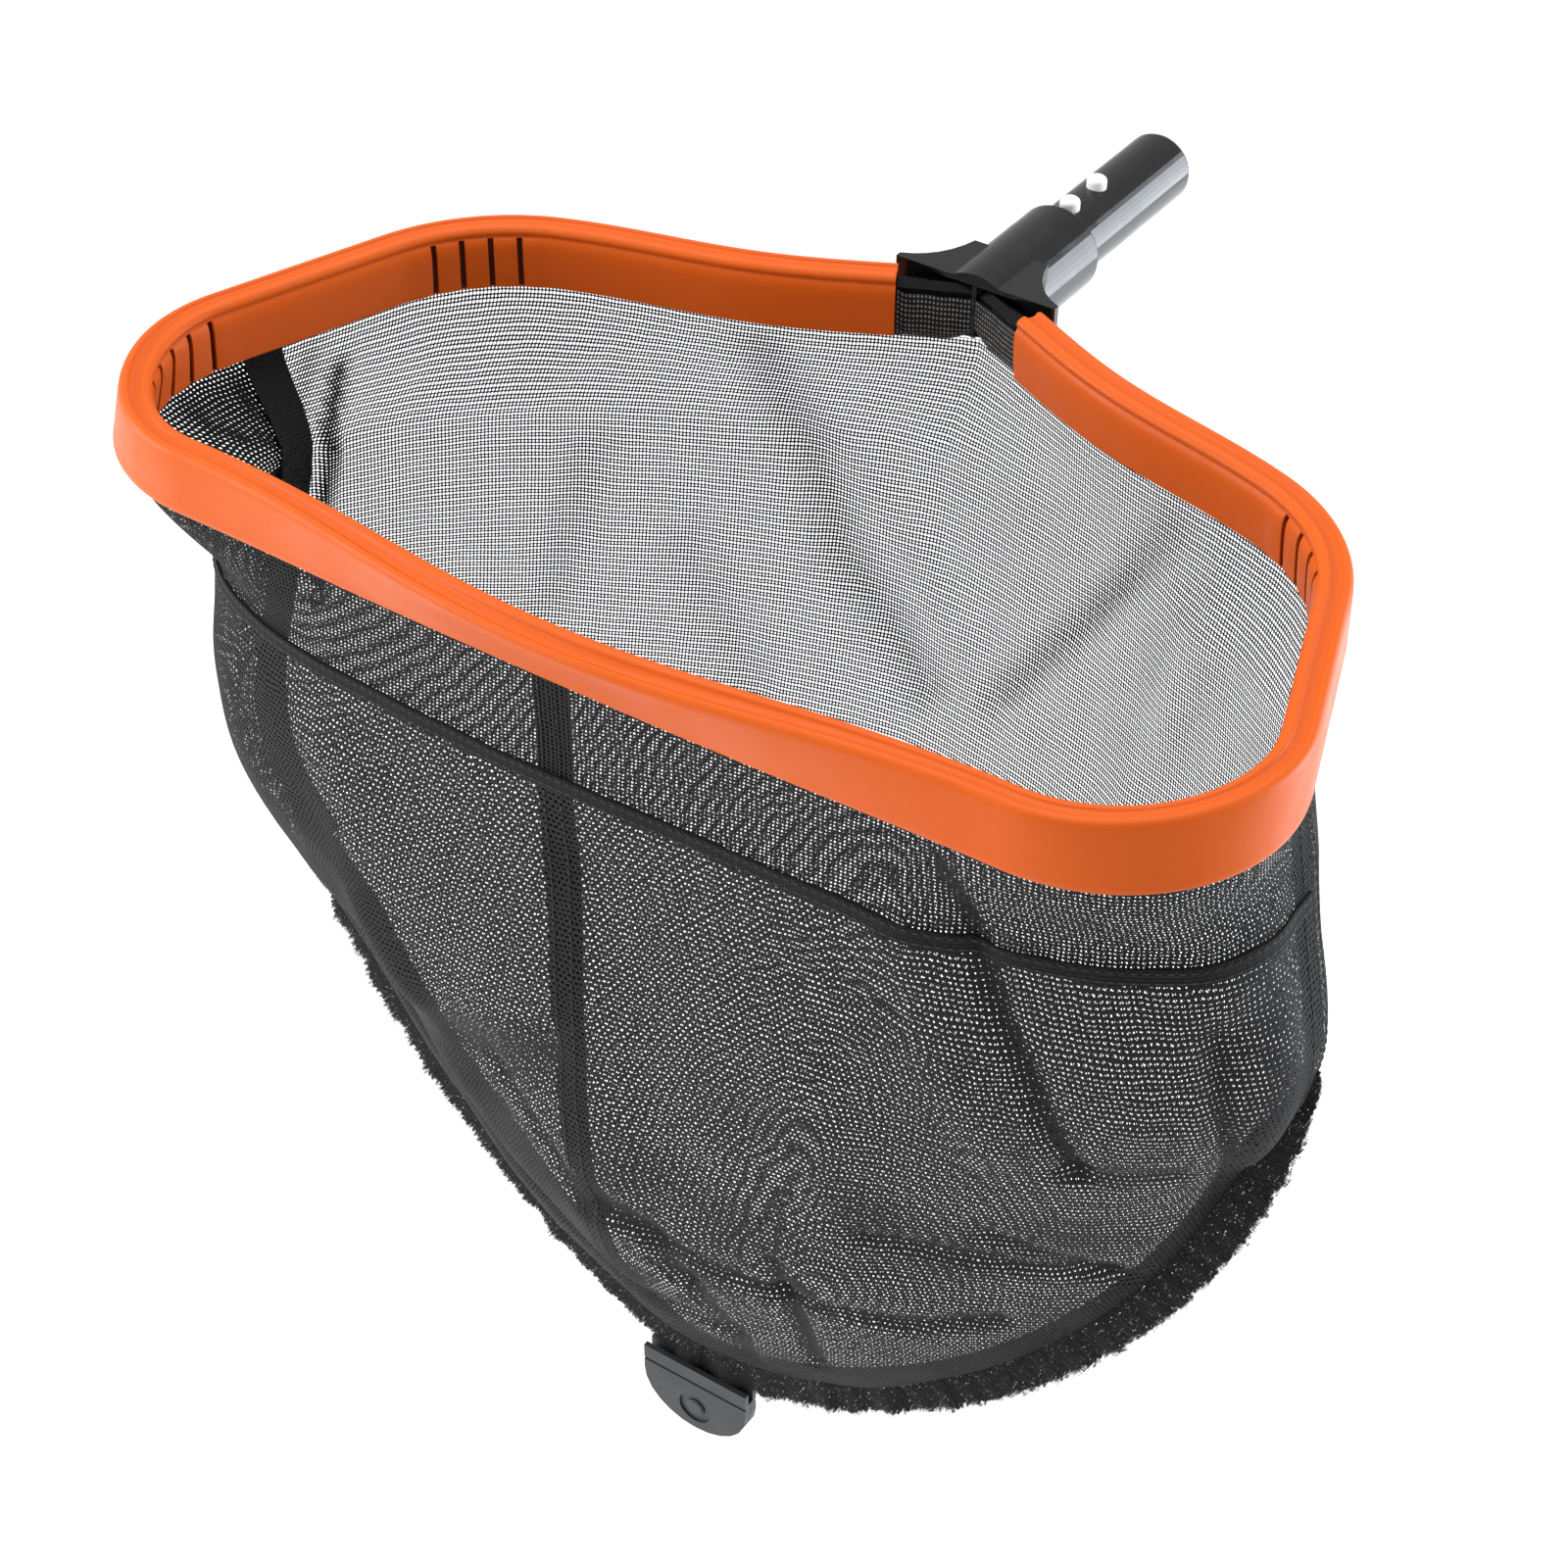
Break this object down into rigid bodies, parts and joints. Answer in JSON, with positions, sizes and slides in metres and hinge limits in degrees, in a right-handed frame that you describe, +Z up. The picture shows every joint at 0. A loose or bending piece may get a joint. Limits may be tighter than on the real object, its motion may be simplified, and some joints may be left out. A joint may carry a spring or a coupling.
{
  "type": "leaf skimmer net",
  "caption": "Deep mesh bag on a five-sided hoop with a soft edging, and a pole spigot with spring buttons, for lifting leaves out of a pool.",
  "frame": {"origin": "on the pole axis, in the plane of the collar's shoulder that the end of the pole stops against", "axes": "+Y along the spigot towards the pole, +Z up out of the hoop's open side, the front scoop bar towards -Y, the bag hanging towards -Z, +X to the right seen from the front bar towards the pole"},
  "size_m": [0.4646, 0.4119, 0.4723],
  "materials": {
    "aluminium": "black anodised tube",
    "edging": "satin soft plastic",
    "webbing": "woven polyester tape",
    "mesh": "knitted nylon mesh",
    "tab": "matte moulded plastic",
    "hub": "glossy moulded plastic",
    "buttons": "smooth moulded plastic",
    "screws": "stainless",
    "springs": "spring steel"
  },
  "bodies": {
    "net": {"frame_tube": "aluminium", "edging_strip": "edging", "hem_sleeve": "webbing", "bag_front_band": "mesh", "bag_front_panel": "mesh", "bag_back_panel": "mesh", "band_seam_tape": "webbing", "centre_tape": "webbing", "side_tape_left": "webbing", "side_tape_right": "webbing", "bottom_band": "webbing", "tab_front_half": "tab", "tab_back_half": "tab", "tab_snap_pin": "tab", "tab_snap_cap": "tab", "hub_body": "hub", "hub_clamp_plate": "hub", "clamp_screw_1": "screws", "clamp_screw_2": "screws", "clamp_screw_3": "screws", "clamp_screw_4": "screws", "spigot_tube": "hub", "spigot_screw": "screws", "leaf_spring_inner": "springs", "leaf_spring_outer": "springs"},
    "inner_button": {"snap_button_inner": "buttons"},
    "outer_button": {"snap_button_outer": "buttons"}
  },
  "joints": [
    {"name": "inner_button_press", "type": "slide", "parent": "net", "child": "inner_button", "axis": [0, 0, -1], "range_m": [0, 0.0044], "stiffness_N_per_m": 1500, "springref_m": -0.003, "deforming": ["leaf_spring_inner"]},
    {"name": "outer_button_press", "type": "slide", "parent": "net", "child": "outer_button", "axis": [0, 0, -1], "range_m": [0, 0.0044], "stiffness_N_per_m": 1500, "springref_m": -0.003, "deforming": ["leaf_spring_outer"]}
  ]
}
